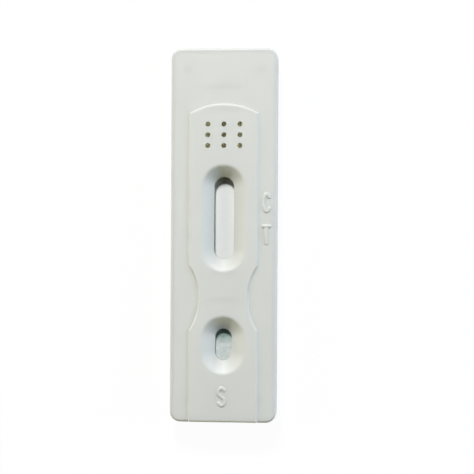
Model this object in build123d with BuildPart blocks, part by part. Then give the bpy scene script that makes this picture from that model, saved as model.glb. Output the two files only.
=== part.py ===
from build123d import *
import os
from math import atan2, degrees

# Lateral flow test cassette, 70 x 20 x 5 mm: a moulded cover pressed onto a moulded tray,
# with a ready-made test strip lying between them.
# Frame: X across the case, Y along it towards the vent holes, Z up.
# The origin is the centre of the case's flat underside. Sizes are in millimetres.

# Case
CASE_WIDTH = 20.0
CORNER_RADIUS = 2.0
INNER_CORNER_RADIUS = 0.8
WALL = 1.2
FLOOR = 1.0
ROOF = 1.1
SEAM_HEIGHT = 2.2
DRAFT_ANGLE = 1.5
EDGE_RADIUS = 0.5
BASE_CHAMFER = 0.35
SEAM_CHAMFER = 0.12
LIP_THICKNESS = 0.5
LIP_HEIGHT = 0.5
LIP_CLEARANCE = 0.05

# Test strip, from the sample end to the absorbent end
STRIP_WIDTH = 4.0
STRIP_END_SPACE = 5.0
CARD_THICKNESS = 0.3
SAMPLE_LENGTH = 19.0
SAMPLE_THICKNESS = 0.6
SAMPLE_LAP = 2.5
CONJUGATE_LENGTH = 7.0
CONJUGATE_THICKNESS = 0.4
CONJUGATE_LAP = 1.5
MEMBRANE_LENGTH = 25.0
MEMBRANE_THICKNESS = 0.15
ABSORBENT_LENGTH = 15.0
ABSORBENT_THICKNESS = 0.9
ABSORBENT_LAP = 2.0
PAD_RAMP = 0.4

# Strip bed in the tray
BED_HEIGHT = 0.75
STRIP_CLEARANCE = 0.05
RAIL_WIDTH = 0.8
RAIL_COLLAR_GAP = 0.25
RUNG_WIDTH = 1.0
RUNG_COUNT = 9
FINGER_GAP_LENGTH = 4.0
FINGER_GAP_PITCH = 18.0
FINGER_GAP_COUNT = 3

# Result window and sample well: a sloped funnel down to an oblong slot with a collar below
HEADROOM = 0.45
COLLAR_PAD_GAP = 0.1
COLLAR_WALL = 0.9
COLLAR_LAND = 0.55
FUNNEL_RIM_RADIUS = 1.0
WINDOW_SHIFT = -1.3
WINDOW_SLOT_LENGTH = 15.4
WINDOW_SLOT_WIDTH = 3.7
WINDOW_SLOPE_RUN = 2.15
WELL_FROM_CONJUGATE = 7.0
WELL_SLOT_LENGTH = 5.9
WELL_SLOT_WIDTH = 3.1
WELL_SLOPE_RUN = 2.4

# Vent holes over the absorbent pad
VENT_FROM_MEMBRANE = 1.7
VENT_DIAMETER = 0.95
VENT_PITCH_ACROSS = 3.0
VENT_PITCH_ALONG = 2.0
VENT_COLUMNS = 3
VENT_ROWS = 3

# Raised panel round the openings, with a steep step and a shallower break along its crest
PANEL_WIDTH = 13.0
PANEL_RISE = 0.35
PANEL_EDGE_RUN = 0.24
CREST_RISE = 0.08
CREST_RUN = 0.14
PANEL_VENT_MARGIN = 4.1
PANEL_CROWN = 1.8
WAIST_FROM_WELL = 8.65
WAIST_LENGTH = 12.0
WAIST_DEPTH = 1.8

# Press pins under the cover and their sockets in the tray
PIN_DIAMETER = 1.6
PIN_CLEARANCE = 0.05
PIN_FLOOR_GAP = 0.3
PIN_TIP_CHAMFER = 0.2
PIN_ROWS = 3
SOCKET_WALL = 0.75
SOCKET_SIDE_GAP = 0.3
SOCKET_END_GAP = 1.2
SOCKET_ROOF_GAP = 0.5
GUSSET_WIDTH = 0.8

# Bars under the cover that hold the pads down
BAR_LENGTH = 6.0
BAR_WIDTH = 0.8
BAR_GAP = 0.05

# Heights that follow from the stack, floor to roof
CARD_Z = FLOOR + BED_HEIGHT
CARD_TOP_Z = CARD_Z + CARD_THICKNESS
MEMBRANE_TOP_Z = CARD_TOP_Z + MEMBRANE_THICKNESS
SAMPLE_TOP_Z = CARD_TOP_Z + SAMPLE_THICKNESS
CONJUGATE_TOP_Z = CARD_TOP_Z + CONJUGATE_THICKNESS
ABSORBENT_TOP_Z = CARD_TOP_Z + ABSORBENT_THICKNESS
COLLAR_Z = SAMPLE_TOP_Z + COLLAR_PAD_GAP
RAIL_TOP_Z = COLLAR_Z - RAIL_COLLAR_GAP
SLOT_Z = COLLAR_Z + COLLAR_LAND
CEILING_Z = MEMBRANE_TOP_Z + ABSORBENT_THICKNESS + HEADROOM
SOCKET_TOP_Z = CEILING_Z - SOCKET_ROOF_GAP
FACE_Z = CEILING_Z + ROOF
PANEL_Z = FACE_Z + PANEL_RISE

# Places along the strip, each laid on from the one before. The case is made to its length.
STRIP_LENGTH = (
    SAMPLE_LENGTH
    - SAMPLE_LAP
    + CONJUGATE_LENGTH
    - CONJUGATE_LAP
    + MEMBRANE_LENGTH
    - ABSORBENT_LAP
    + ABSORBENT_LENGTH
)
CASE_LENGTH = STRIP_LENGTH + 2 * STRIP_END_SPACE
STRIP_START_Y = -STRIP_LENGTH / 2
STRIP_END_Y = STRIP_LENGTH / 2
SAMPLE_END_Y = STRIP_START_Y + SAMPLE_LENGTH
CONJUGATE_START_Y = SAMPLE_END_Y - SAMPLE_LAP
CONJUGATE_END_Y = CONJUGATE_START_Y + CONJUGATE_LENGTH
MEMBRANE_START_Y = CONJUGATE_END_Y - CONJUGATE_LAP
MEMBRANE_END_Y = MEMBRANE_START_Y + MEMBRANE_LENGTH
ABSORBENT_START_Y = MEMBRANE_END_Y - ABSORBENT_LAP
WINDOW_Y = (MEMBRANE_START_Y + MEMBRANE_END_Y) / 2 + WINDOW_SHIFT
WELL_Y = CONJUGATE_START_Y - WELL_FROM_CONJUGATE
VENT_Y = MEMBRANE_END_Y + VENT_FROM_MEMBRANE

# Plan sizes and places inside the case
INNER_LENGTH = CASE_LENGTH - 2 * WALL
INNER_WIDTH = CASE_WIDTH - 2 * WALL
BED_WIDTH = STRIP_WIDTH + 2 * STRIP_CLEARANCE
BED_LENGTH = STRIP_LENGTH + 2 * STRIP_CLEARANCE
RUNG_PITCH = (BED_LENGTH - RUNG_WIDTH) / (RUNG_COUNT - 1)
SOCKET_BORE = PIN_DIAMETER + 2 * PIN_CLEARANCE
SOCKET_DIAMETER = SOCKET_BORE + 2 * SOCKET_WALL
PIN_SPAN = INNER_WIDTH - 2 * SOCKET_SIDE_GAP - SOCKET_DIAMETER
PIN_PITCH = (INNER_LENGTH - 2 * SOCKET_END_GAP - SOCKET_DIAMETER) / (PIN_ROWS - 1)


def case_outline():
    """The case's plan at the seam, where it is widest."""
    RectangleRounded(CASE_WIDTH, CASE_LENGTH, CORNER_RADIUS)


def inner_outline(margin=0.0):
    """The plan of the hollow inside the walls, grown all round by a margin."""
    RectangleRounded(
        INNER_WIDTH + 2 * margin,
        INNER_LENGTH + 2 * margin,
        INNER_CORNER_RADIUS + margin,
    )


def rounded_block(height):
    """The case above the seam as a solid block with drafted sides and a rounded top edge."""
    with BuildPart() as block:
        with BuildSketch(Plane.XY.offset(SEAM_HEIGHT)):
            case_outline()
        extrude(amount=height, taper=DRAFT_ANGLE)
        fillet(block.faces().sort_by(Axis.Z)[-1].edges(), radius=EDGE_RADIUS)
    return block.part


def upright_slot(y, length, width, height):
    """An oblong face with its long side along Y, at a height."""
    with BuildSketch(Plane.XY.offset(height)) as slot:
        with Locations((0, y)):
            SlotOverall(length, width, rotation=90)
    return slot.sketch


def funnel_angle(slope_run):
    """The funnel slope's angle from the vertical."""
    return degrees(atan2(slope_run, PANEL_Z - SLOT_Z))


def add_collar(y, slot_length, slot_width, slope_run):
    """The funnel's outer wall under the roof, as thick as the collar at its foot."""
    foot = upright_slot(y, slot_length + 2 * COLLAR_WALL, slot_width + 2 * COLLAR_WALL, COLLAR_Z)
    extrude(foot, amount=FACE_Z - ROOF / 2 - COLLAR_Z, taper=-funnel_angle(slope_run))


def cut_opening(y, slot_length, slot_width, slope_run):
    """The funnel from the panel down to the slot, and the slot on down through the collar."""
    mouth = upright_slot(y, slot_length, slot_width, SLOT_Z)
    extrude(mouth, amount=PANEL_Z - SLOT_Z, taper=-funnel_angle(slope_run), mode=Mode.SUBTRACT)
    extrude(mouth, amount=COLLAR_Z - SLOT_Z, mode=Mode.SUBTRACT)


def layer_solid(outline):
    """A layer of the strip: its side view as points along Y and Z, as wide as the strip."""
    with BuildPart() as layer:
        with BuildSketch(Plane.YZ):
            with BuildLine():
                Polyline(*outline, close=True)
            make_face()
        extrude(amount=STRIP_WIDTH / 2, both=True)
    return layer.part


# Raised panel: arched at the vent end, waisted between the two openings, and running out over
# the sample end of the case, whose rounded edge it follows.
panel_block = rounded_block(PANEL_Z - SEAM_HEIGHT)
with BuildPart() as raised_panel:
    half_width = PANEL_WIDTH / 2
    shoulder_y = VENT_Y + PANEL_VENT_MARGIN
    waist_y = WELL_Y + WAIST_FROM_WELL
    beyond_end_y = -CASE_LENGTH / 2 - PANEL_WIDTH
    with BuildSketch(Plane.XY.offset(FACE_Z)):
        with BuildLine():
            arch = ThreePointArc(
                (half_width, shoulder_y),
                (0, shoulder_y + PANEL_CROWN),
                (-half_width, shoulder_y),
            )
            side = Line(arch @ 1, (-half_width, waist_y + WAIST_LENGTH / 2))
            waist = ThreePointArc(
                side @ 1,
                (WAIST_DEPTH - half_width, waist_y),
                (-half_width, waist_y - WAIST_LENGTH / 2),
            )
            foot = Line(waist @ 1, (-half_width, beyond_end_y))
            mirror(side, about=Plane.YZ)
            mirror(waist, about=Plane.YZ)
            mirror(foot, about=Plane.YZ)
            Line(foot @ 1, (half_width, beyond_end_y))
        make_face()
    step_rise = PANEL_RISE - CREST_RISE
    extrude(amount=step_rise, taper=degrees(atan2(PANEL_EDGE_RUN, step_rise)))
    step_top = raised_panel.faces().sort_by(Axis.Z)[-1]
    extrude(step_top, amount=CREST_RISE, taper=degrees(atan2(CREST_RUN, CREST_RISE)))
    add(panel_block, mode=Mode.INTERSECT)

# Top cover: the moulded upper half of the case, with everything that is moulded on it.
cover_block = rounded_block(FACE_Z - SEAM_HEIGHT)
with BuildPart() as top_cover:
    add(cover_block)
    add(raised_panel.part)
    seam_rim = top_cover.faces().sort_by(Axis.Z)[0].edges()
    chamfer(seam_rim, length=SEAM_CHAMFER)

    # The hollow, and the rebate that the tray's lip fits into
    with BuildSketch(Plane.XY.offset(SEAM_HEIGHT)):
        inner_outline()
    extrude(amount=CEILING_Z - SEAM_HEIGHT, mode=Mode.SUBTRACT)
    with BuildSketch(Plane.XY.offset(SEAM_HEIGHT)):
        inner_outline(margin=LIP_THICKNESS + LIP_CLEARANCE)
    extrude(amount=LIP_HEIGHT + LIP_CLEARANCE, mode=Mode.SUBTRACT)

    # Result window and sample well
    add_collar(WINDOW_Y, WINDOW_SLOT_LENGTH, WINDOW_SLOT_WIDTH, WINDOW_SLOPE_RUN)
    add_collar(WELL_Y, WELL_SLOT_LENGTH, WELL_SLOT_WIDTH, WELL_SLOPE_RUN)
    cut_opening(WINDOW_Y, WINDOW_SLOT_LENGTH, WINDOW_SLOT_WIDTH, WINDOW_SLOPE_RUN)
    cut_opening(WELL_Y, WELL_SLOT_LENGTH, WELL_SLOT_WIDTH, WELL_SLOPE_RUN)
    funnel_rims = top_cover.faces().sort_by(Axis.Z)[-1].inner_wires()
    fillet([edge for rim in funnel_rims for edge in rim.edges()], radius=FUNNEL_RIM_RADIUS)

    # Vent holes
    with Locations((0, VENT_Y, PANEL_Z)):
        with GridLocations(VENT_PITCH_ACROSS, VENT_PITCH_ALONG, VENT_COLUMNS, VENT_ROWS):
            Hole(radius=VENT_DIAMETER / 2, depth=PANEL_Z - CEILING_Z)

    # Press pins
    with BuildSketch(Plane.XY.offset(CEILING_Z)):
        with GridLocations(PIN_SPAN, PIN_PITCH, 2, PIN_ROWS):
            Circle(PIN_DIAMETER / 2)
    extrude(amount=FLOOR + PIN_FLOOR_GAP - CEILING_Z)
    chamfer(top_cover.edges().group_by(Axis.Z)[0], length=PIN_TIP_CHAMFER)

    # Bars across the strip, one over each lap of two layers and two over the absorbent pad
    absorbent_length = STRIP_END_Y - MEMBRANE_END_Y
    bars = [
        (SAMPLE_END_Y - SAMPLE_LAP / 2, CONJUGATE_TOP_Z + SAMPLE_THICKNESS),
        (CONJUGATE_END_Y - CONJUGATE_LAP / 2, MEMBRANE_TOP_Z + CONJUGATE_THICKNESS),
        (STRIP_END_Y - absorbent_length / 2, ABSORBENT_TOP_Z),
        (STRIP_END_Y - absorbent_length / 6, ABSORBENT_TOP_Z),
    ]
    for bar_y, held_z in bars:
        with BuildSketch(Plane.XY.offset(CEILING_Z)):
            with Locations((0, bar_y)):
                Rectangle(BAR_LENGTH, BAR_WIDTH)
        extrude(amount=held_z + BAR_GAP - CEILING_Z)

# Bottom housing: the moulded lower half, a shallow tray with the strip's bed in it.
with BuildPart() as bottom_housing:
    with BuildSketch(Plane.XY.offset(SEAM_HEIGHT)):
        case_outline()
    extrude(amount=-SEAM_HEIGHT, taper=DRAFT_ANGLE)
    chamfer(bottom_housing.faces().sort_by(Axis.Z)[0].edges(), length=BASE_CHAMFER)
    chamfer(bottom_housing.faces().sort_by(Axis.Z)[-1].edges(), length=SEAM_CHAMFER)

    # The lip and the hollow
    with BuildSketch(Plane.XY.offset(SEAM_HEIGHT)):
        inner_outline(margin=LIP_THICKNESS)
    extrude(amount=LIP_HEIGHT)
    with BuildSketch(Plane.XY.offset(FLOOR)):
        inner_outline()
    extrude(amount=SEAM_HEIGHT + LIP_HEIGHT - FLOOR, mode=Mode.SUBTRACT)

    # Guide rails and end stops round the strip, notched for tweezers
    with BuildSketch(Plane.XY.offset(FLOOR)):
        Rectangle(BED_WIDTH + 2 * RAIL_WIDTH, BED_LENGTH + 2 * RAIL_WIDTH)
        Rectangle(BED_WIDTH, BED_LENGTH, mode=Mode.SUBTRACT)
    extrude(amount=RAIL_TOP_Z - FLOOR)
    with BuildSketch(Plane.XY.offset(CARD_Z)):
        with GridLocations(0, FINGER_GAP_PITCH, 1, FINGER_GAP_COUNT):
            Rectangle(BED_WIDTH + 2 * RAIL_WIDTH, FINGER_GAP_LENGTH)
    extrude(amount=RAIL_TOP_Z - CARD_Z, mode=Mode.SUBTRACT)

    # Rungs that carry the strip
    with BuildSketch(Plane.XY.offset(FLOOR)):
        with GridLocations(0, RUNG_PITCH, 1, RUNG_COUNT):
            Rectangle(BED_WIDTH + RAIL_WIDTH, RUNG_WIDTH)
    extrude(amount=BED_HEIGHT)

    # Sockets for the pins, tied to the side walls by gussets
    gusset_length = SOCKET_DIAMETER / 2 + SOCKET_SIDE_GAP
    with BuildSketch(Plane.XY.offset(FLOOR)):
        with GridLocations(PIN_SPAN + gusset_length, PIN_PITCH, 2, PIN_ROWS):
            Rectangle(gusset_length, GUSSET_WIDTH)
    extrude(amount=SEAM_HEIGHT - FLOOR)
    with BuildSketch(Plane.XY.offset(FLOOR)):
        with GridLocations(PIN_SPAN, PIN_PITCH, 2, PIN_ROWS):
            Circle(SOCKET_DIAMETER / 2)
    extrude(amount=SOCKET_TOP_Z - FLOOR)
    with Locations((0, 0, SOCKET_TOP_Z)):
        with GridLocations(PIN_SPAN, PIN_PITCH, 2, PIN_ROWS):
            Hole(radius=SOCKET_BORE / 2, depth=SOCKET_TOP_Z - FLOOR)

# The strip's layers, in side view. A pad drops from what it laps onto the card by a short ramp.
backing_card = layer_solid(
    [
        (STRIP_START_Y, CARD_Z),
        (STRIP_END_Y, CARD_Z),
        (STRIP_END_Y, CARD_TOP_Z),
        (STRIP_START_Y, CARD_TOP_Z),
    ]
)
membrane = layer_solid(
    [
        (MEMBRANE_START_Y, CARD_TOP_Z),
        (MEMBRANE_END_Y, CARD_TOP_Z),
        (MEMBRANE_END_Y, MEMBRANE_TOP_Z),
        (MEMBRANE_START_Y, MEMBRANE_TOP_Z),
    ]
)
conjugate_pad = layer_solid(
    [
        (CONJUGATE_START_Y, CARD_TOP_Z),
        (MEMBRANE_START_Y - PAD_RAMP, CARD_TOP_Z),
        (MEMBRANE_START_Y, MEMBRANE_TOP_Z),
        (CONJUGATE_END_Y, MEMBRANE_TOP_Z),
        (CONJUGATE_END_Y, MEMBRANE_TOP_Z + CONJUGATE_THICKNESS),
        (MEMBRANE_START_Y - PAD_RAMP, MEMBRANE_TOP_Z + CONJUGATE_THICKNESS),
        (MEMBRANE_START_Y - 2 * PAD_RAMP, CONJUGATE_TOP_Z),
        (CONJUGATE_START_Y, CONJUGATE_TOP_Z),
    ]
)
sample_pad = layer_solid(
    [
        (STRIP_START_Y, CARD_TOP_Z),
        (CONJUGATE_START_Y - PAD_RAMP, CARD_TOP_Z),
        (CONJUGATE_START_Y, CONJUGATE_TOP_Z),
        (SAMPLE_END_Y, CONJUGATE_TOP_Z),
        (SAMPLE_END_Y, CONJUGATE_TOP_Z + SAMPLE_THICKNESS),
        (CONJUGATE_START_Y - PAD_RAMP, CONJUGATE_TOP_Z + SAMPLE_THICKNESS),
        (CONJUGATE_START_Y - 2 * PAD_RAMP, SAMPLE_TOP_Z),
        (STRIP_START_Y, SAMPLE_TOP_Z),
    ]
)
absorbent_pad = layer_solid(
    [
        (STRIP_END_Y, CARD_TOP_Z),
        (MEMBRANE_END_Y + PAD_RAMP, CARD_TOP_Z),
        (MEMBRANE_END_Y, MEMBRANE_TOP_Z),
        (ABSORBENT_START_Y, MEMBRANE_TOP_Z),
        (ABSORBENT_START_Y, MEMBRANE_TOP_Z + ABSORBENT_THICKNESS),
        (MEMBRANE_END_Y + PAD_RAMP, MEMBRANE_TOP_Z + ABSORBENT_THICKNESS),
        (MEMBRANE_END_Y + 2 * PAD_RAMP, ABSORBENT_TOP_Z),
        (STRIP_END_Y, ABSORBENT_TOP_Z),
    ]
)

pieces = {
    "top_cover": top_cover.part,
    "bottom_housing": bottom_housing.part,
    "backing_card": backing_card,
    "nitrocellulose_membrane": membrane,
    "conjugate_pad": conjugate_pad,
    "sample_pad": sample_pad,
    "absorbent_pad": absorbent_pad,
}
os.makedirs("parts", exist_ok=True)
for name, piece in pieces.items():
    piece.label = name
    export_step(piece, f"parts/{name}.step")
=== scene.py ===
import math
import random

import bmesh
import bpy
from mathutils import Matrix, Vector, noise


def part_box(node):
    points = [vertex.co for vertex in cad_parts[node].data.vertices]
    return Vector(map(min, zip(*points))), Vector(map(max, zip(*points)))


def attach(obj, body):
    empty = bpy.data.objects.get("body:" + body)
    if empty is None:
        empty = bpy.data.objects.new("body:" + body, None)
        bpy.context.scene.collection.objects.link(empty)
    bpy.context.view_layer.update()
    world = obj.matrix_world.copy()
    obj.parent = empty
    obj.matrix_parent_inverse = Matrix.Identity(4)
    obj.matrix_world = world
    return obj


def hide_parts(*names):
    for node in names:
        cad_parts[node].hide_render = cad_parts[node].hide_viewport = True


# Looks of a slim lateral flow cassette: satin moulded plastic, a white membrane in the window,
# fibre mats on the strip, and the raised letters beside the window and below the well.
# Everything is in metres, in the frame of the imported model. MM turns millimetres into metres.
MM = 0.001

# Camera: almost straight above the middle, turned a little to the right
CAMERA_AIM = Vector((2.375, -0.34, 2.5)) * MM
CAMERA_DISTANCE = 225.8 * MM
CAMERA_LEAN_RIGHT = math.radians(4.2)
CAMERA_LEAN_NEAR = math.radians(0.2)
CAMERA_ROLL = math.radians(0.31)
CAMERA_LENS = 91.14
CAMERA_SENSOR = 36.0
CAMERA_CLIP_START = 10 * MM

# Room: almost all the light comes from the softboxes. The floor shows the camera its own white,
# with a small share of what the light makes of it, which keeps the object's shadow
ROOM_LEVEL = 0.004
FLOOR_WIDTH = 1.6
FLOOR_GAP = 0.02 * MM
FLOOR_ROUGHNESS = 0.9
FLOOR_OWN_WHITE = 0.96

# Softboxes, all facing the object: bearings are in degrees from +Y towards +X
SOFTBOXES = {
    "vent_end_softbox": dict(
        bearing=-7,
        elevation=37.8,
        distance=0.75,
        width=0.14,
        watts=6.5,
        colour=(0.99, 0.98, 0.995),
    ),
    "right_softbox": dict(
        bearing=90, elevation=21, distance=0.5, width=0.25, watts=1.65, colour=(0.73, 0.84, 1)
    ),
    "left_softbox": dict(
        bearing=-90, elevation=21, distance=0.5, width=0.25, watts=1.15, colour=(1, 0.97, 0.84)
    ),
    "well_end_softbox": dict(
        bearing=180, elevation=7, distance=0.5, width=0.02, watts=0.26, colour=(1, 0.9, 0.05)
    ),
}

# Raised letters: widths and heights are over the strokes, and places are those of the middles.
# Arcs are in degrees. Stations at a few angles, in radians, of a half circle round off a stroke's
# end. Only the faces that look down more than the underside's limit are shaded flat
STROKE_WIDTH = 0.74 * MM
STROKE_ROUNDNESS = 4
STROKE_END_ANGLES = (0.45, 0.85, 1.2, 1.5)
LETTER_WIDTH = 1.95 * MM
LETTER_HEIGHT = 3.92 * MM
LETTER_RELIEF = 0.17 * MM
LETTER_SINK = 0.05 * MM
LETTER_ARC_STEP = math.radians(12)
LETTER_UNDERSIDE = -0.9
C_ARC = (42, 318)
S_UPPER_ARC = (30, 217)
S_LOWER_ARC = (37, -150)
PANEL_RISE = 0.35 * MM
CONTROL_MARK_AT = (8.05 * MM, 6.06 * MM)
TEST_MARK_AT = (8.0 * MM, 0.1 * MM)
SAMPLE_MARK_AT = (-0.2 * MM, -30.13 * MM)

# Points of a mesh that are as close as this become one
MERGE_DISTANCE = 0.001 * MM

# Fibre mats: how their slabs are worn, and how the loose fibres on them run. A spread is the range
# of a random share of the value above it
MAT_VOXEL = 0.12 * MM
MAT_SMOOTHING = 0.5
MAT_WAVE_HEIGHT = 0.02 * MM
MAT_WAVE_LENGTH = 0.7 * MM
FIBRE_RADIUS = 0.011 * MM
FIBRE_ROUNDNESS = 0
FIBRE_POINTS = 5
FIBRE_LENGTH = 1.3 * MM
FIBRE_LENGTH_SPREAD = (0.5, 1.2)
FIBRE_BEND = math.radians(28)
FIBRE_RISE = 0.012 * MM
FIBRE_RISE_SPREAD = (-2, 1)
FIBRE_EDGE_MARGIN = 0.25 * MM

# Where along the strip each mat's top is level, the count of loose fibres on it, and their seed
SAMPLE_FIBRES = dict(start=-29.8 * MM, end=-14.5 * MM, count=1300, seed=3)
CONJUGATE_FIBRES = dict(start=-13.3 * MM, end=-9.0 * MM, count=150, seed=5)
ABSORBENT_FIBRES = dict(start=17.9 * MM, end=29.8 * MM, count=500, seed=7)

# Hollow in the sample pad under the well: how deep it is, where along the strip the pad begins to
# sink, is deepest and is level again, and how thick the skin is that sinks with its top
HOLLOW_DEPTH = 0.1 * MM
HOLLOW_START = -17.0 * MM
HOLLOW_MIDDLE = -20.8 * MM
HOLLOW_END = -27.0 * MM
HOLLOW_HALF_WIDTH = 2 * MM
HOLLOW_SKIN = 4 * MAT_WAVE_HEIGHT

# Moulded plastic: its grain, its patches of gloss and its drift of tone. A face leans, and takes a
# painted shade, where the upward part of its normal is between two soft limits, each given as the
# values at which it counts for nothing and in full
PLASTIC_IOR = 1.55
PLASTIC_TRANSMISSION = 0.34
PLASTIC_GRAIN = 0.09 * MM
PLASTIC_GRAIN_DEPTH = 0.006 * MM
PLASTIC_GLOSS_PATCH = 2.0 * MM
PLASTIC_DRIFT = 9.0 * MM
PLASTIC_ROUGHNESS = 0.42
PLASTIC_GRAIN_ROUGHENING = 0.12
PLASTIC_PATCH_ROUGHENING = 0.1
PAINTED_SHADE_LEAN_STEEPEST = (0.3, 0.6)
PAINTED_SHADE_LEAN_SHALLOWEST = (0.97, 0.85)

# Boxes, as (middle, half the size), that hold the faces inside the case below its roof, which take
# a painted warm light, the upright walls of the two slots above them, which take a painted shade,
# and those of the window's slot alone, where the painted shade is darker
INSIDE_BOX = ((0.0, 0.0, 1.65 * MM), (8.7 * MM, 33.7 * MM, 1.0 * MM))
SLOT_WALLS_BOX = ((0.0, 0.0, 2.97 * MM), (4.0 * MM, 30.0 * MM, 0.3 * MM))
WINDOW_WALLS_BOX = ((0.0, 3.2 * MM, 2.97 * MM), (4.0 * MM, 8.5 * MM, 0.3 * MM))
BOX_BLUR = 0.05 * MM

# Card: its rolling marks, which run along it
CARD_IOR = 1.53
CARD_MARK = 0.3 * MM
CARD_MARK_DEPTH = 0.002 * MM
CARD_MARK_STRETCH = (1.0, 0.05, 1.0)
CARD_ROUGHNESS = 0.25
CARD_MARK_ROUGHENING = 0.15

# Membrane: its fine pores and its faint clouds
MEMBRANE_IOR = 1.4
MEMBRANE_PORE = 0.05 * MM
MEMBRANE_PORE_DEPTH = 0.004 * MM
MEMBRANE_CLOUD = 0.8 * MM
MEMBRANE_ROUGHNESS = 0.8
MEMBRANE_PORE_ROUGHENING = 0.1

# Felts: fine strands at several angles, over thick and thin patches. The shade goes from dark to
# light over a range of what the two add up to
FELT_ROUGHNESS = 0.92
FELT_SHEEN = 0.15
FELT_SHEEN_ROUGHNESS = 0.6
FELT_STRAND = 0.06 * MM
FELT_STRAND_DEPTH = 0.03 * MM
FELT_STRAND_STRETCH = (1.0, 0.09, 1.0)
FELT_STRAND_ANGLES = (0.3, 1.4, 2.5)
FELT_STRAND_SHARE = 0.5
FELT_PATCH = 0.6 * MM
FELT_PATCH_DEPTH = 0.1 * MM
FELT_PATCH_SHARE = 0.9
FELT_SHADE_RANGE = (0.6, 0.88)

# Painted shade on the sample pad, darker and greener from the middle of the well towards the
# conjugate pad: its tint, where along the strip that begins and is full, and how far the patches
# shift its edge
SAMPLE_PAINTED_SHADE_TINT = (0.48, 0.6, 0.56, 1)
SAMPLE_PAINTED_SHADE_START = -20.2 * MM
SAMPLE_PAINTED_SHADE_FULL = -18.3 * MM
PAINTED_SHADE_EDGE_SHIFT = 0.8 * MM

# Colours of the surfaces under plain white light, as screen values. The case's leaning and slot
# tones are painted shade, and its inner tone is painted warm light
CASE_TONE = (243, 245, 239)
CASE_SHADE_TONE = (237, 239, 233)
# Painted shade on the faces that lean
CASE_LEANING_PAINTED_SHADE_TONE = (231, 234, 228)
# Painted warm light on the faces inside the case
CASE_INNER_PAINTED_LIGHT_TONE = (245, 237, 166)
# Painted shade on the upright walls of the slots, darker still in the window's slot
CASE_SLOT_PAINTED_SHADE_TONE = (152, 150, 132)
CASE_WINDOW_SLOT_PAINTED_SHADE_TONE = (90, 87, 45)
CARD_TONE = (226, 227, 224)
MEMBRANE_TONE = (247, 251, 248)
MEMBRANE_CLOUDY_TONE = (242, 246, 243)
SAMPLE_TONE = (236, 243, 239)
SAMPLE_DARK_TONE = (214, 225, 222)
GLASS_TONE = (222, 220, 214)
GLASS_DARK_TONE = (205, 202, 195)
COTTON_TONE = (248, 243, 204)
COTTON_DARK_TONE = (235, 228, 186)
FLOOR_TONE = (250, 250, 250)
WHITE = (1, 1, 1, 1)

# Places of a colour Mix node's sockets
MIX_A = 6
MIX_B = 7
MIX_RESULT = 2


def tone(screen):
    """A screen colour, 0 to 255 a channel, as the linear colour that a shader takes."""
    parts = [part / 255 for part in screen]
    linear = [p / 12.92 if p <= 0.04045 else ((p + 0.055) / 1.055) ** 2.4 for p in parts]
    return (*linear, 1.0)


class Wire:
    """A node's output in a sum: Python's operators on it add Math nodes."""

    def __init__(self, nodes, socket):
        self.nodes = nodes
        self.socket = socket

    def maths(self, operation, *others):
        """A Math node that takes this output and others, each an output or a number."""
        terms = dict(enumerate((self, *others)))
        return self.nodes.node("Math", {"operation": operation}, terms)

    def __add__(self, other):
        return self.maths("ADD", other)

    def __sub__(self, other):
        return self.maths("SUBTRACT", other)

    def __rsub__(self, other):
        return self * -1 + other

    def __mul__(self, other):
        return self.maths("MULTIPLY", other)

    __radd__ = __add__
    __rmul__ = __mul__


class Nodes:
    """A node tree in the making."""

    def __init__(self, tree):
        self.tree = tree

    def node(self, kind, settings=None, inputs=None, output=0):
        """Adds a node, applies its settings, then gives its sockets their values or links."""
        node = self.tree.nodes.new("ShaderNode" + kind)
        for name, setting in (settings or {}).items():
            setattr(node, name, setting)
        for name, value in (inputs or {}).items():
            self.feed(node.inputs[name], value)
        return Wire(self, node.outputs[output])

    def feed(self, socket, value):
        """Links a socket to an output, or gives it a value."""
        if isinstance(value, Wire):
            self.tree.links.new(value.socket, socket)
        else:
            socket.default_value = value


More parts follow.
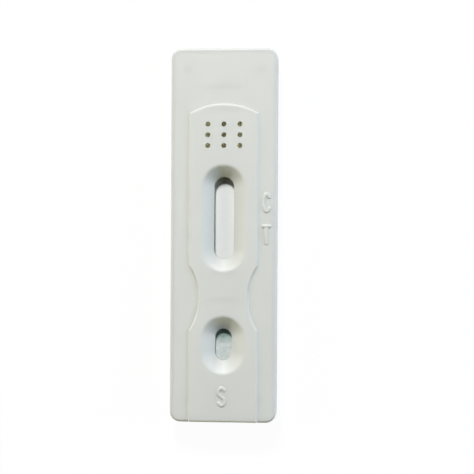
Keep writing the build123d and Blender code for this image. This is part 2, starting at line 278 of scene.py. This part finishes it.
class Finish(Nodes):
    """A material in the making: a Principled shader and what feeds it."""

    def __init__(self, name, sockets):
        self.material = bpy.data.materials.new(name)
        self.material.use_nodes = True
        super().__init__(self.material.node_tree)
        self.shader = self.tree.nodes["Principled BSDF"]
        self.place = self.node("TexCoord", output="Object")
        self.set(sockets)

    def set(self, sockets):
        """Gives the shader's own sockets their values or links."""
        for name, value in sockets.items():
            self.feed(self.shader.inputs[name], value)

    def part(self, vector, axis):
        """One part, X, Y or Z, of a vector."""
        return self.node("SeparateXYZ", inputs={0: vector}, output=axis)

    def stretched(self, place, scales):
        """Coordinates scaled along each axis."""
        return self.node("VectorMath", {"operation": "MULTIPLY"}, {0: place, 1: scales})

    def turned(self, angle):
        """The Object coordinates, turned about the upright axis."""
        return self.node(
            "VectorRotate", {"rotation_type": "Z_AXIS"}, {"Vector": self.place, "Angle": angle}
        )

    def grain(self, size, detail=2.0, roughness=0.5, place=None):
        """Noise whose patches are about so many metres across, from 0 to 1."""
        return self.node(
            "TexNoise",
            inputs={
                "Vector": place or self.place,
                "Scale": 1 / size,
                "Detail": detail,
                "Roughness": roughness,
            },
        )

    def ranged(self, value, low, high):
        """The share, kept within 0 and 1, that a value has gone from low to high."""
        return self.node(
            "MapRange", inputs={"Value": value, "From Min": low, "From Max": high}
        )

    def within(self, middle, reach):
        """1 inside a box, given by its middle and half its size, and 0 outside it."""
        gaps = [
            (self.part(self.place, axis) - at).maths("ABSOLUTE") - half
            for axis, at, half in zip("XYZ", middle, reach)
        ]
        farthest = gaps[0].maths("MAXIMUM", gaps[1]).maths("MAXIMUM", gaps[2])
        return self.ranged(farthest, BOX_BLUR, -BOX_BLUR)

    def blend(self, share, first, second, how="MIX"):
        """A colour that goes from the first to the second as the share goes from 0 to 1."""
        return self.node(
            "Mix",
            {"data_type": "RGBA", "blend_type": how},
            {0: share, MIX_A: first, MIX_B: second},
            output=MIX_RESULT,
        )

    def bumped(self, *layers):
        """A normal from layers of (height, depth in metres), each laid on the one before."""
        normal = None
        for height, depth in layers:
            inputs = {"Height": height, "Distance": depth, "Strength": 1.0}
            if normal:
                inputs["Normal"] = normal
            normal = self.node("Bump", inputs=inputs)
        return normal


def case_colour(finish):
    """The moulded plastic's colour, a drift between two close tones. Its thin walls let light
    through. Over the drift lie a painted shade on the faces that lean and on the upright walls of
    the slots, darkest in the window's slot, and a painted warm light on the faces inside the case."""
    drift = finish.grain(PLASTIC_DRIFT, detail=1.0)
    level_tone = finish.blend(drift, tone(CASE_TONE), tone(CASE_SHADE_TONE))
    facing_up = finish.part(finish.node("TexCoord", output="Normal"), "Z")
    steep_enough = finish.ranged(facing_up, *PAINTED_SHADE_LEAN_SHALLOWEST)
    # Faces that lean take a painted shade
    leaning_painted_shade = finish.ranged(facing_up, *PAINTED_SHADE_LEAN_STEEPEST) * steep_enough
    outer_tone = finish.blend(leaning_painted_shade, level_tone, tone(CASE_LEANING_PAINTED_SHADE_TONE))
    # Faces inside the case take a painted warm light
    case_tone = finish.blend(finish.within(*INSIDE_BOX), outer_tone, tone(CASE_INNER_PAINTED_LIGHT_TONE))
    # The slots' upright walls take a painted shade, darker in the window's slot
    window_walls = finish.within(*WINDOW_WALLS_BOX)
    wall_painted_shade = finish.blend(window_walls, tone(CASE_SLOT_PAINTED_SHADE_TONE), tone(CASE_WINDOW_SLOT_PAINTED_SHADE_TONE))
    return finish.blend(finish.within(*SLOT_WALLS_BOX), case_tone, wall_painted_shade)


def moulded_plastic():
    """Satin moulded plastic with a fine eroded grain, which lets some light through."""
    finish = Finish(
        "moulded_plastic", {"IOR": PLASTIC_IOR, "Transmission Weight": PLASTIC_TRANSMISSION}
    )
    grain = finish.grain(PLASTIC_GRAIN, detail=3.0)
    patches = finish.grain(PLASTIC_GLOSS_PATCH)
    finish.set(
        {
            "Base Color": case_colour(finish),
            "Roughness": grain * PLASTIC_GRAIN_ROUGHENING
            + patches * PLASTIC_PATCH_ROUGHENING
            + PLASTIC_ROUGHNESS,
            "Normal": finish.bumped((grain, PLASTIC_GRAIN_DEPTH)),
        }
    )
    return finish.material


def card_plastic():
    """Smooth white sheet plastic with faint rolling marks along it."""
    finish = Finish("sheet_plastic", {"IOR": CARD_IOR})
    rolled = finish.grain(CARD_MARK, place=finish.stretched(finish.place, CARD_MARK_STRETCH))
    finish.set(
        {
            "Base Color": tone(CARD_TONE),
            "Roughness": rolled * CARD_MARK_ROUGHENING + CARD_ROUGHNESS,
            "Normal": finish.bumped((rolled, CARD_MARK_DEPTH)),
        }
    )
    return finish.material


def porous_film():
    """Matt white membrane: a porous film with a faint cloudiness."""
    finish = Finish("porous_film", {"IOR": MEMBRANE_IOR})
    pores = finish.grain(MEMBRANE_PORE, detail=4.0)
    cloud = finish.grain(MEMBRANE_CLOUD, detail=3.0)
    finish.set(
        {
            "Base Color": finish.blend(cloud, tone(MEMBRANE_TONE), tone(MEMBRANE_CLOUDY_TONE)),
            "Roughness": pores * MEMBRANE_PORE_ROUGHENING + MEMBRANE_ROUGHNESS,
            "Normal": finish.bumped((pores, MEMBRANE_PORE_DEPTH)),
        }
    )
    return finish.material


def fibre_felt(name, light, dark, painted_shade_tint=None):
    """Matt fibre mat: strands crossing at three angles, thick and thin patches between them. A mat
    with painted shade takes a darkening tint as (tint, where it begins, where it is full) along
    the strip."""
    finish = Finish(
        name,
        {
            "Roughness": FELT_ROUGHNESS,
            "Sheen Weight": FELT_SHEEN,
            "Sheen Roughness": FELT_SHEEN_ROUGHNESS,
        },
    )
    layers = [
        finish.grain(
            FELT_STRAND, place=finish.stretched(finish.turned(angle), FELT_STRAND_STRETCH)
        )
        for angle in FELT_STRAND_ANGLES
    ]
    strands = layers[0].maths("MAXIMUM", layers[1]).maths("MAXIMUM", layers[2])
    patches = finish.grain(FELT_PATCH, detail=4.0, roughness=0.65)
    thickness = patches * FELT_PATCH_SHARE + strands * FELT_STRAND_SHARE
    colour = finish.blend(finish.ranged(thickness, *FELT_SHADE_RANGE), tone(dark), tone(light))
    # Painted shade: a darker, greener tint along the strip
    if painted_shade_tint:
        tint, start, full = painted_shade_tint
        along = finish.part(finish.place, "Y")
        share = finish.ranged(along + patches * PAINTED_SHADE_EDGE_SHIFT, start, full)
        colour = finish.blend(share, colour, tint, "MULTIPLY")
    finish.set(
        {
            "Base Color": colour,
            "Normal": finish.bumped((patches, FELT_PATCH_DEPTH), (strands, FELT_STRAND_DEPTH)),
        }
    )
    return finish.material


def floor_finish():
    """Pale floor that the camera sees as white, with the object's soft shadow on it."""
    finish = Finish("pale_floor", {"Base Color": tone(FLOOR_TONE), "Roughness": FLOOR_ROUGHNESS})
    camera_ray = finish.node("LightPath", output="Is Camera Ray")
    glossy_ray = finish.node("LightPath", output="Is Glossy Ray")
    white_share = camera_ray.maths("MAXIMUM", glossy_ray) * FLOOR_OWN_WHITE
    lit = Wire(finish, finish.shader.outputs[0])
    white = finish.node("Emission", inputs={"Color": WHITE, "Strength": 1.0})
    mixed = finish.node("MixShader", inputs={0: white_share, 1: lit, 2: white})
    finish.feed(finish.tree.nodes["Material Output"].inputs["Surface"], mixed)
    return finish.material


def finished(shape, name, material):
    """Turns a bmesh into an object in the scene with its finish."""
    mesh = bpy.data.meshes.new(name)
    shape.to_mesh(mesh)
    shape.free()
    mesh.materials.append(material)
    piece = bpy.data.objects.new(name, mesh)
    bpy.context.scene.collection.objects.link(piece)
    return piece


def drawn_tubes(name, radius, roundness, lines):
    """A mesh of capped round tubes along lines of (place, swell), the swell being the share of
    the radius at that place."""
    curve = bpy.data.curves.new(name, "CURVE")
    curve.dimensions = "3D"
    curve.bevel_depth = radius
    curve.bevel_resolution = roundness
    curve.use_fill_caps = True
    for line in lines:
        spline = curve.splines.new("POLY")
        spline.points.add(len(line) - 1)
        for point, (place, swell) in zip(spline.points, line):
            point.co = (*place, 1)
            point.radius = swell
    drawn = bpy.data.objects.new(name, curve)
    bpy.context.scene.collection.objects.link(drawn)
    bpy.context.view_layer.update()
    mesh = bpy.data.meshes.new_from_object(drawn)
    bpy.data.objects.remove(drawn)
    return mesh


def arc(middle, radii, angles):
    """Points of an ellipse's arc, between two angles in degrees."""
    start, end = (math.radians(angle) for angle in angles)
    steps = max(1, round(abs(end - start) / LETTER_ARC_STEP))
    turns = [start + (end - start) * step / steps for step in range(steps + 1)]
    return [
        (middle[0] + radii[0] * math.cos(turn), middle[1] + radii[1] * math.sin(turn))
        for turn in turns
    ]


def letter_lines(sign):
    """The middle lines of a letter's strokes, in a box from -1 to 1 both ways."""
    if sign == "C":
        return [arc((0, 0), (1, 1), C_ARC)]
    if sign == "T":
        return [[(-1, 1), (1, 1)], [(0, 1), (0, -1)]]
    return [arc((0, 0.5), (1, 0.5), S_UPPER_ARC) + arc((0, -0.5), (1, 0.5), S_LOWER_ARC)]


def rounded_off(points):
    """Stations (place, swell) along a stroke, with added ones that round off both ends."""
    reach = STROKE_WIDTH / 2
    ahead = (points[-1] - points[-2]).normalized()
    behind = (points[0] - points[1]).normalized()
    caps = [(math.sin(angle), math.cos(angle)) for angle in STROKE_END_ANGLES]
    start = [(points[0] + behind * reach * out, swell) for out, swell in reversed(caps)]
    end = [(points[-1] + ahead * reach * out, swell) for out, swell in caps]
    return start + [(point, 1.0) for point in points] + end


def raised_letter(sign, name, at, ground, material):
    """A letter of round-topped strokes that stands up from a face at the height of the ground."""
    half_width = (LETTER_WIDTH - STROKE_WIDTH) / 2
    half_height = (LETTER_HEIGHT - STROKE_WIDTH) / 2
    lines = [
        rounded_off([Vector((x * half_width, y * half_height, 0)) for x, y in line])
        for line in letter_lines(sign)
    ]
    letter = bmesh.new()
    letter.from_mesh(drawn_tubes(name, STROKE_WIDTH / 2, STROKE_ROUNDNESS, lines))
    flatten = Matrix.Diagonal((1, 1, LETTER_RELIEF / (STROKE_WIDTH / 2), 1))
    place = Matrix.Translation((*at, ground))
    bmesh.ops.transform(letter, matrix=place @ flatten, verts=letter.verts)
    bmesh.ops.remove_doubles(letter, verts=letter.verts, dist=MERGE_DISTANCE)
    cut = bmesh.ops.bisect_plane(
        letter,
        geom=letter.verts[:] + letter.edges[:] + letter.faces[:],
        plane_co=(0, 0, ground - LETTER_SINK),
        plane_no=(0, 0, 1),
        clear_inner=True,
    )
    rim = [part for part in cut["geom_cut"] if isinstance(part, bmesh.types.BMEdge)]
    bmesh.ops.holes_fill(letter, edges=rim)
    bmesh.ops.recalc_face_normals(letter, faces=letter.faces)
    for face in letter.faces:
        face.smooth = face.normal.z > LETTER_UNDERSIDE
    piece = finished(letter, name, material)
    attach(piece, "root")


def softened_slab(node):
    """A bmesh of a node with its sharp edges worn off and its faces a little uneven."""
    source = bpy.data.objects.new(node + "_slab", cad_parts[node].data.copy())
    bpy.context.scene.collection.objects.link(source)
    merged = bmesh.new()
    merged.from_mesh(source.data)
    bmesh.ops.remove_doubles(merged, verts=merged.verts, dist=MERGE_DISTANCE)
    merged.to_mesh(source.data)
    merged.free()
    remesh = source.modifiers.new("soften", "REMESH")
    remesh.mode = "VOXEL"
    remesh.voxel_size = MAT_VOXEL
    bpy.context.view_layer.update()
    softened = source.evaluated_get(bpy.context.evaluated_depsgraph_get())
    slab = bmesh.new()
    slab.from_mesh(bpy.data.meshes.new_from_object(softened))
    bpy.data.objects.remove(source)
    bmesh.ops.smooth_vert(
        slab,
        verts=slab.verts,
        factor=MAT_SMOOTHING,
        use_axis_x=True,
        use_axis_y=True,
        use_axis_z=True,
    )
    bmesh.ops.recalc_face_normals(slab, faces=slab.faces)
    for vert in slab.verts:
        swell = noise.noise(vert.co / MAT_WAVE_LENGTH)
        vert.co += vert.normal * MAT_WAVE_HEIGHT * (swell - 1)
    return slab


def level_top(node, start, end):
    """The height of a node's top, halfway between two places along the strip."""
    above = Vector((0, (start + end) / 2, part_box(node)[1].z + MM))
    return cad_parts[node].ray_cast(above, Vector((0, 0, -1)))[1].z


def loose_fibres(node, top, start, end, count, seed):
    """Lines of fibres that lie about on a node's top, between two places along the strip."""
    chance = random.Random(seed)
    low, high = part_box(node)
    lines = []
    for _ in range(count):
        x = chance.uniform(low.x + FIBRE_EDGE_MARGIN, high.x - FIBRE_EDGE_MARGIN)
        y = chance.uniform(start + FIBRE_EDGE_MARGIN, end - FIBRE_EDGE_MARGIN)
        heading = chance.uniform(0, 2 * math.pi)
        bend = chance.uniform(-FIBRE_BEND, FIBRE_BEND)
        step = FIBRE_LENGTH * chance.uniform(*FIBRE_LENGTH_SPREAD) / (FIBRE_POINTS - 1)
        line = []
        for _ in range(FIBRE_POINTS):
            inside_x = min(max(x, low.x + FIBRE_RADIUS), high.x - FIBRE_RADIUS)
            inside_y = min(max(y, start), end)
            height = top - FIBRE_RADIUS + chance.uniform(*FIBRE_RISE_SPREAD) * FIBRE_RISE
            line.append(((inside_x, inside_y, height), 1.0))
            x += math.cos(heading) * step
            y += math.sin(heading) * step
            heading += bend
        lines.append(line)
    return lines


def hollow(place):
    """How far a place on the sample pad's top has sunk in the well."""
    end = HOLLOW_START if place.y > HOLLOW_MIDDLE else HOLLOW_END
    along = min(max((place.y - end) / (HOLLOW_MIDDLE - end), 0), 1)
    across = abs(place.x) / HOLLOW_HALF_WIDTH
    return HOLLOW_DEPTH * along * (2 - along) * (1 - across**4)


def fibre_mat(node, material, slot, start, end, count, seed, hollowed=False):
    """A cut fibre mat in place of a plain node: a soft slab, and loose fibres on its level top,
    which runs between two places along the strip. A hollowed one sinks with the fibres on it."""
    top = level_top(node, start, end)
    mat = softened_slab(node)
    lines = loose_fibres(node, top, start, end, count, seed)
    mat.from_mesh(drawn_tubes(node + "_fibres", FIBRE_RADIUS, FIBRE_ROUNDNESS, lines))
    for face in mat.faces:
        face.smooth = True
    if hollowed:
        for vert in mat.verts:
            if vert.co.z > top - HOLLOW_SKIN:
                vert.co.z -= hollow(vert.co)
    piece = finished(mat, node + "_mat", material)
    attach(piece, "root")
    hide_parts(node)


def place_camera():
    """Stands the camera where the photograph was taken from."""
    back = Vector((math.tan(CAMERA_LEAN_RIGHT), -math.tan(CAMERA_LEAN_NEAR), 1)).normalized()
    across = (-back).cross(Vector((0, 1, 0))).normalized()
    up = back.cross(across)
    facing = Matrix((across, up, back)).transposed() @ Matrix.Rotation(CAMERA_ROLL, 3, "Z")
    camera = bpy.data.objects.new("camera", bpy.data.cameras.new("camera"))
    camera.data.lens = CAMERA_LENS
    camera.data.sensor_width = CAMERA_SENSOR
    camera.data.clip_start = CAMERA_CLIP_START
    stand = Matrix.Translation(CAMERA_AIM + back * CAMERA_DISTANCE)
    camera.matrix_world = stand @ facing.to_4x4()
    bpy.context.scene.collection.objects.link(camera)
    bpy.context.scene.camera = camera


def softbox(name, bearing, elevation, distance, width, watts, colour):
    """A round softbox that faces the object. Its bearing is in degrees from +Y towards +X."""
    turn, rise = math.radians(bearing), math.radians(elevation)
    towards = Vector(
        (math.sin(turn) * math.cos(rise), math.cos(turn) * math.cos(rise), math.sin(rise))
    )
    lamp = bpy.data.lights.new(name, "AREA")
    lamp.shape = "DISK"
    lamp.size = width
    lamp.energy = watts
    lamp.color = colour
    holder = bpy.data.objects.new(name, lamp)
    holder.location = towards * distance
    holder.rotation_euler = towards.to_track_quat("Z", "Y").to_euler()
    bpy.context.scene.collection.objects.link(holder)


def dim_room():
    """A dim room all round, and plain white where the camera looks into it."""
    world = bpy.data.worlds.new("room")
    bpy.context.scene.world = world
    world.use_nodes = True
    nodes = Nodes(world.node_tree)
    camera_ray = nodes.node("LightPath", output="Is Camera Ray")
    level = nodes.node(
        "MapRange", inputs={"Value": camera_ray, "To Min": ROOM_LEVEL, "To Max": 1.0}
    )
    background = nodes.tree.nodes["Background"]
    nodes.feed(background.inputs["Color"], WHITE)
    nodes.feed(background.inputs["Strength"], level)


def lay_floor():
    """A wide pale floor just below the underside."""
    shape = bmesh.new()
    bmesh.ops.create_grid(
        shape,
        x_segments=1,
        y_segments=1,
        size=FLOOR_WIDTH / 2,
        matrix=Matrix.Translation((0, 0, -FLOOR_GAP)),
    )
    finished(shape, "floor", floor_finish())


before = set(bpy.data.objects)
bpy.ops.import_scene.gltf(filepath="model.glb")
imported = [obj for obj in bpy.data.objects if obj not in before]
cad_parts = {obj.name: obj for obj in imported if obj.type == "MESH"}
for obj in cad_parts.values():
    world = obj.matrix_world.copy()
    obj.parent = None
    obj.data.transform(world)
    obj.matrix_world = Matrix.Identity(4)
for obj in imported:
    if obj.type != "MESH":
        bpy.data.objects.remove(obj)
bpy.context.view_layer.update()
bpy.context.scene.view_settings.view_transform = "Standard"

place_camera()
dim_room()
lay_floor()
for softbox_name, softbox_settings in SOFTBOXES.items():
    softbox(softbox_name, **softbox_settings)

case_finish = moulded_plastic()
node_finishes = {
    "top_cover": case_finish,
    "bottom_housing": case_finish,
    "backing_card": card_plastic(),
    "nitrocellulose_membrane": porous_film(),
}
for node_name, node_finish in node_finishes.items():
    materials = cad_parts[node_name].data.materials
    materials.clear()
    materials.append(node_finish)

panel_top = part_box("top_cover")[1].z
face_top = panel_top - PANEL_RISE
raised_letter("C", "control_mark", CONTROL_MARK_AT, face_top, case_finish)
raised_letter("T", "test_mark", TEST_MARK_AT, face_top, case_finish)
raised_letter("S", "sample_mark", SAMPLE_MARK_AT, panel_top, case_finish)

# Painted shade on the sample pad, towards the well's upper end
sample_painted_shade_tint = (SAMPLE_PAINTED_SHADE_TINT, SAMPLE_PAINTED_SHADE_START, SAMPLE_PAINTED_SHADE_FULL)
sample_felt = fibre_felt("sample_felt", SAMPLE_TONE, SAMPLE_DARK_TONE, sample_painted_shade_tint)
glass_felt = fibre_felt("glass_felt", GLASS_TONE, GLASS_DARK_TONE)
cotton_felt = fibre_felt("cotton_felt", COTTON_TONE, COTTON_DARK_TONE)
fibre_mat("sample_pad", sample_felt, "sample_fibre", hollowed=True, **SAMPLE_FIBRES)
fibre_mat("conjugate_pad", glass_felt, "glass_fibre", **CONJUGATE_FIBRES)
fibre_mat("absorbent_pad", cotton_felt, "cotton_fibre", **ABSORBENT_FIBRES)
